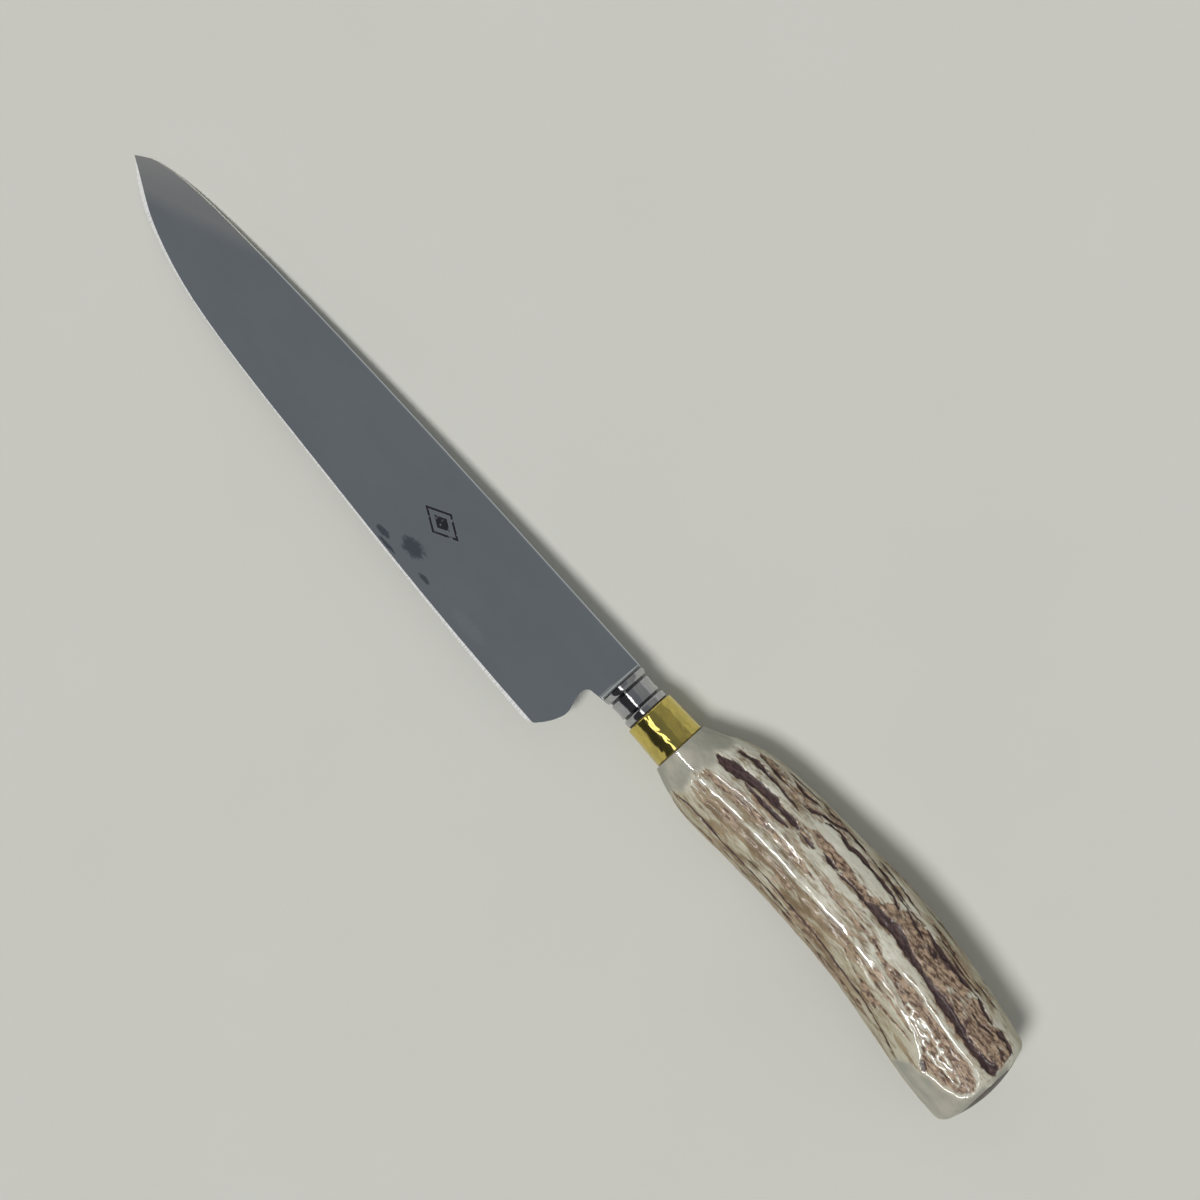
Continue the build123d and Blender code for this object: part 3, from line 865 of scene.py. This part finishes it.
def antler_material():
    """Polished antler: ivory ridges, an older olive skin, tan hollows, brown bark, dark stains, and shiny
    crests whitened as a painted highlight.
    """
    material, graph, shader = new_material("stag_antler")
    dark_share, brown_share, tan_share = graph.channels("stain")
    age, pits, polish = graph.channels("finish")
    shine = graph.channels("gloss")[0]
    cloud = graph.noise((9, 4, 4), detail=4)
    streak = graph.noise((4.0, 0.5, 0.5), detail=5, roughness=0.66)
    fleck = graph.noise((2.2, 0.75, 0.75), detail=5, roughness=0.72)
    wave = graph.math("SUBTRACT", graph.math("ADD", streak, graph.math("MULTIPLY", fleck, 0.5)), 0.75)

    def ragged(mask, amount, soft):
        """A mask whose edge follows the fibres."""
        return graph.fade(graph.math("MULTIPLY_ADD", wave, amount, mask), 0.5 - soft, 0.5 + soft)

    clouded = graph.fade(cloud, 0.35, 0.65)
    colour = graph.blend(polish, graph.blend(clouded, *IVORY), graph.blend(clouded, *NOSE))
    old_share = graph.math("MULTIPLY", age, graph.fade(streak, 0.25, 0.6, 0.6, 1.0), clamp=True)
    colour = graph.blend(old_share, colour, OLD_OLIVE)
    tan = graph.blend(graph.fade(cloud, 0.4, 0.6), *TAN)
    colour = graph.blend(ragged(tan_share, 2.0, 0.34), colour, tan)
    brown = graph.blend(graph.fade(fleck, 0.38, 0.62), *BROWN)
    colour = graph.blend(ragged(brown_share, 1.6, 0.15), colour, brown)
    dark = graph.blend(graph.fade(fleck, 0.40, 0.65), *DARK)
    colour = graph.blend(ragged(dark_share, 1.3, 0.14), colour, dark)
    # Painted highlight: the shiny crests are whitened, partly as paler polished antler and partly to stand
    # in for the lamp's reflection.
    colour = graph.blend(graph.math("MULTIPLY", shine, 0.25), colour, PALE_CREST_AND_PAINTED_HIGHLIGHT)

    bare = graph.math("SUBTRACT", 1.0, polish)
    relief = graph.bump(graph.math("MULTIPLY", streak, bare), 0.16)
    crumbs = graph.math("MULTIPLY", fleck, graph.math("ADD", brown_share, pits, clamp=True))
    relief = graph.bump(crumbs, 0.28, relief)
    rough = graph.fade(streak, 0.3, 0.7, 0.42, 0.58)
    coat = graph.math("MULTIPLY_ADD", shine, 0.94, 0.06)
    dress(graph, shader, Base_Color=colour, Roughness=rough, Normal=relief, Specular_IOR_Level=0.15)
    dress(graph, shader, Coat_Weight=coat, Coat_Roughness=0.05, Coat_IOR=1.8)
    return material


# ------------------------------------------------------------------ steel
# Design millimetres. TIP_LINE and TIP_TURN give the line past which the grind rounds to the point.
STEEL = ((0.53, 0.565, 0.585), (0.57, 0.605, 0.625))
TIP_STEEL = (0.74, 0.73, 0.70)
TIP_LINE = (-168.5, -1.7)
TIP_TURN = math.radians(-68.6)
ETCH_BLACK = (0.018, 0.018, 0.024)
MARK_CENTRE = (-70.5, -6.6)
MARK_HALF = (6.4, 3.4)
AGE_BLUE = (0.10, 0.12, 0.16)
AGE_SHARE = 0.66
AGE_SPOTS = (
    ((-70.9, -16.2), (3.4, 1.9)),
    ((-79.2, -19.0), (2.2, 0.7)),
    ((-63.0, -19.4), (1.9, 0.6)),
    ((-76.0, -20.6), (3.0, 0.4)),
)
SMEAR_WHITE = (0.80, 0.82, 0.84)
SMEAR_SHARE = 0.20
SMEAR = ((-46.5, -19.2), (5.5, 1.6))
# The ground edge's steel, pale and partly matte: a painted highlight for the bright line along the edge.
EDGE_STEEL_AND_PAINTED_HIGHLIGHT = ((0.78, 0.79, 0.79), (0.88, 0.89, 0.89))
EDGE_END = -17.9
EDGE_LEVEL = 0.02
FLANK_LEVEL = 0.985
TURNED_STEEL = ((0.44, 0.445, 0.46), (0.52, 0.52, 0.53))
COLLAR_FRONT = -10.05
GRIME = (0.035, 0.033, 0.038)
GRIMY_GROOVES = ((-9.7, 0.22), (-7.4, 0.28), (-2.35, 0.28), (0.0, 0.2))


def design_axes(graph):
    """The design X, Y and Z of the shaded place, in millimetres."""
    place = graph.place((1, 1, 1))
    back = np.array(TO_DESIGN)
    axes = []
    for k in range(3):
        along = graph.vector("DOT_PRODUCT", place, tuple(back[k, :3] * MM))
        axes.append(graph.math("ADD", along, float(back[k, 3])))
    return axes


def away_from(graph, place, centre):
    """How far a place is from a centre line, either way."""
    return graph.math("ABSOLUTE", graph.math("SUBTRACT", place, centre))


def spot(graph, x, y, centre, half_size, softness):
    """A ragged oval patch on the flank."""
    dx = graph.math("DIVIDE", graph.math("SUBTRACT", x, centre[0]), half_size[0])
    dy = graph.math("DIVIDE", graph.math("SUBTRACT", y, centre[1]), half_size[1])
    squares = graph.math("ADD", graph.math("MULTIPLY", dx, dx), graph.math("MULTIPLY", dy, dy))
    far = graph.math("SQRT", squares)
    ragged = graph.math("ADD", far, graph.math("MULTIPLY", graph.noise((1.6, 0.8, 0.8), 4, 0.7), 1.5))
    return graph.fade(ragged, 1.75 + softness, 1.75 - softness)


def lozenge(graph, x, y):
    """The plain etched mark: a lozenge's outline with a small filled one inside, a little worn."""
    reach_x = graph.math("DIVIDE", away_from(graph, x, MARK_CENTRE[0]), MARK_HALF[0])
    reach_y = graph.math("DIVIDE", away_from(graph, y, MARK_CENTRE[1]), MARK_HALF[1])
    reach = graph.math("ADD", reach_x, reach_y)
    outline = graph.math("SUBTRACT", graph.fade(reach, 1.04, 0.98), graph.fade(reach, 0.82, 0.76))
    kernel = graph.fade(reach, 0.52, 0.46)
    worn = graph.fade(graph.noise((1.3, 1.3, 1.3), 3), 0.30, 0.45, 0.55, 1.0)
    return graph.math("MULTIPLY", graph.math("ADD", outline, kernel, clamp=True), worn)


def rounded_tip(graph, x, y):
    """1 on the stretch by the point, where the grind rounds off."""
    along = graph.math("MULTIPLY", graph.math("SUBTRACT", x, TIP_LINE[0]), math.cos(TIP_TURN))
    up = graph.math("MULTIPLY", graph.math("SUBTRACT", y, TIP_LINE[1]), math.sin(TIP_TURN))
    return graph.fade(graph.math("ADD", along, up), 1.5, -3.5)


def flank_material():
    """Polished steel with fine lengthwise scratches, age spots and a small plain etched lozenge."""
    material, graph, shader = new_material("blade_flank_steel")
    x, y, z = design_axes(graph)
    upper = graph.fade(z, -0.1, 0.1)
    cloud = graph.noise((30, 14, 14), detail=4)
    colour = graph.blend(graph.fade(cloud, 0.3, 0.7), *STEEL)
    for centre, half_size in AGE_SPOTS:
        mask = graph.math("MULTIPLY", spot(graph, x, y, centre, half_size, 0.25), upper)
        colour = graph.blend(graph.math("MULTIPLY", mask, AGE_SHARE), colour, AGE_BLUE)
    mark = graph.math("MULTIPLY", lozenge(graph, x, y), upper)
    colour = graph.blend(mark, colour, ETCH_BLACK)
    smear = graph.math("MULTIPLY", spot(graph, x, y, *SMEAR, 0.5), SMEAR_SHARE)
    colour = graph.blend(smear, colour, SMEAR_WHITE)
    colour = graph.blend(rounded_tip(graph, x, y), colour, TIP_STEEL)
    lines = graph.noise((38, 0.11, 3), detail=2, roughness=0.5)
    rough = graph.fade(lines, 0.3, 0.7, 0.03, 0.05)
    relief = graph.bump(lines, 0.0008)
    metal = graph.math("SUBTRACT", 1.0, graph.math("MULTIPLY", mark, 0.9))
    dress(graph, shader, Base_Color=colour, Metallic=metal, Roughness=rough, Normal=relief)
    return material


def edge_material():
    """The ground edge: steel crossed by grinding lines, pale and partly matte so that it carries a painted
    highlight along the edge.
    """
    material, graph, shader = new_material("ground_edge_steel_painted_highlight")
    lines = graph.noise((0.22, 5, 5), detail=3, roughness=0.6)
    colour = graph.blend(graph.fade(lines, 0.35, 0.65), *EDGE_STEEL_AND_PAINTED_HIGHLIGHT)
    rough = graph.fade(lines, 0.3, 0.7, 0.24, 0.38)
    relief = graph.bump(lines, 0.012)
    # Metallic 0.35 lets the pale colour show under any light, a painted highlight along the edge.
    dress(graph, shader, Base_Color=colour, Metallic=0.35, Roughness=rough, Normal=relief)
    return material


def turned_material():
    """The turned bolster: bright steel with fine rings round the axis and grime in its grooves."""
    material, graph, shader = new_material("turned_bolster_steel")
    rings = graph.noise((0.14, 9, 9), detail=2, roughness=0.5)
    cloud = graph.noise((4, 2.5, 2.5), detail=3)
    colour = graph.blend(graph.fade(cloud, 0.35, 0.65), *TURNED_STEEL)
    x = design_axes(graph)[0]
    for groove, half_width in GRIMY_GROOVES:
        near = graph.fade(away_from(graph, x, groove), half_width + 0.12, half_width - 0.12)
        colour = graph.blend(graph.math("MULTIPLY", near, 0.85), colour, GRIME)
    rough = graph.fade(rings, 0.3, 0.7, 0.04, 0.08)
    relief = graph.bump(rings, 0.004)
    relief = graph.bump(cloud, 0.06, relief)
    dress(graph, shader, Base_Color=colour, Metallic=1.0, Roughness=rough, Normal=relief)
    return material


def dress_blade():
    """Flank, ground edge or turned steel for each face, chosen by its place and its slope."""
    mesh = frame["nodes"]["blade"].data
    points, polygons = mesh_in_design("blade")
    mesh.materials.clear()
    for material in (flank_material(), edge_material(), turned_material()):
        mesh.materials.append(material)
    flank, edge, turned = range(3)
    choice = []
    for face in polygons:
        corners = points[list(face)]
        normal = np.cross(corners[1] - corners[0], corners[2] - corners[0])
        normal /= max(np.linalg.norm(normal), 1e-12)
        x = corners[:, 0].mean()
        ground = abs(normal[2]) < FLANK_LEVEL and normal[1] < EDGE_LEVEL
        if x > COLLAR_FRONT:
            choice.append(turned)
        elif x < EDGE_END and ground:
            choice.append(edge)
        else:
            choice.append(flank)
    mesh.polygons.foreach_set("material_index", choice)


# ------------------------------------------------------------------ brass, cement, seal and core
BRASS = ((0.74, 0.60, 0.16), (0.56, 0.46, 0.14))
# For each node: material, two colours, roughness, grain lengths and grain depth in millimetres.
DULL_FINISHES = {
    "antler_core": ("spongy_core", (0.30, 0.22, 0.14), (0.55, 0.45, 0.32), 0.8, (0.8, 0.5, 0.5), 0.3),
    "core_seal": ("dark_seal", (0.016, 0.013, 0.011), (0.085, 0.060, 0.042), 0.42, (1.5, 1.5, 1.5), 0.35),
    "tang_cement": ("tang_cement", (0.10, 0.07, 0.05), (0.06, 0.045, 0.03), 0.6, (1, 1, 1), 0.1),
    "ferrule_cement": ("ferrule_cement", (0.04, 0.03, 0.025), (0.07, 0.05, 0.04), 0.6, (1, 1, 1), 0.1),
}


def ferrule_material():
    """Polished brass, a little dented and hazed, with rings left by the lathe."""
    material, graph, shader = new_material("ferrule_brass")
    rings = graph.noise((0.16, 9, 9), detail=2)
    haze = graph.noise((3.5, 2.2, 2.2), detail=4)
    dents = graph.noise((4.5, 3.0, 3.0), detail=1, distortion=0.6)
    colour = graph.blend(graph.fade(haze, 0.35, 0.7), *BRASS)
    rough = graph.fade(haze, 0.3, 0.7, 0.06, 0.13)
    relief = graph.bump(rings, 0.006)
    relief = graph.bump(dents, 0.20, relief)
    dress(graph, shader, Base_Color=colour, Metallic=1.0, Roughness=rough, Normal=relief)
    return material


def dull_material(name, colour, other, roughness, grain, depth):
    """A grainy material for the cement, the seal and the core."""
    material, graph, shader = new_material(name)
    noise = graph.noise(grain, detail=4)
    dress(graph, shader, Base_Color=graph.blend(graph.fade(noise, 0.35, 0.65), colour, other))
    dress(graph, shader, Roughness=roughness, Normal=graph.bump(noise, depth))
    return material


def dress_nodes():
    dress_blade()
    finishes = {node: dull_material(*finish) for node, finish in DULL_FINISHES.items()}
    finishes["ferrule"] = ferrule_material()
    for node, material in finishes.items():
        mesh = frame["nodes"][node].data
        mesh.materials.clear()
        mesh.materials.append(material)


# ------------------------------------------------------------------ the scene
bpy.context.scene.view_settings.view_transform = "Standard"
make_camera()
make_lamp()
make_tube("dim_tube", **DIM_TUBE)
bright_tube = make_tube("bright_tube", **BRIGHT_TUBE)
make_world()
make_floor()
shine_only_on(bright_tube, make_antler())
dress_nodes()
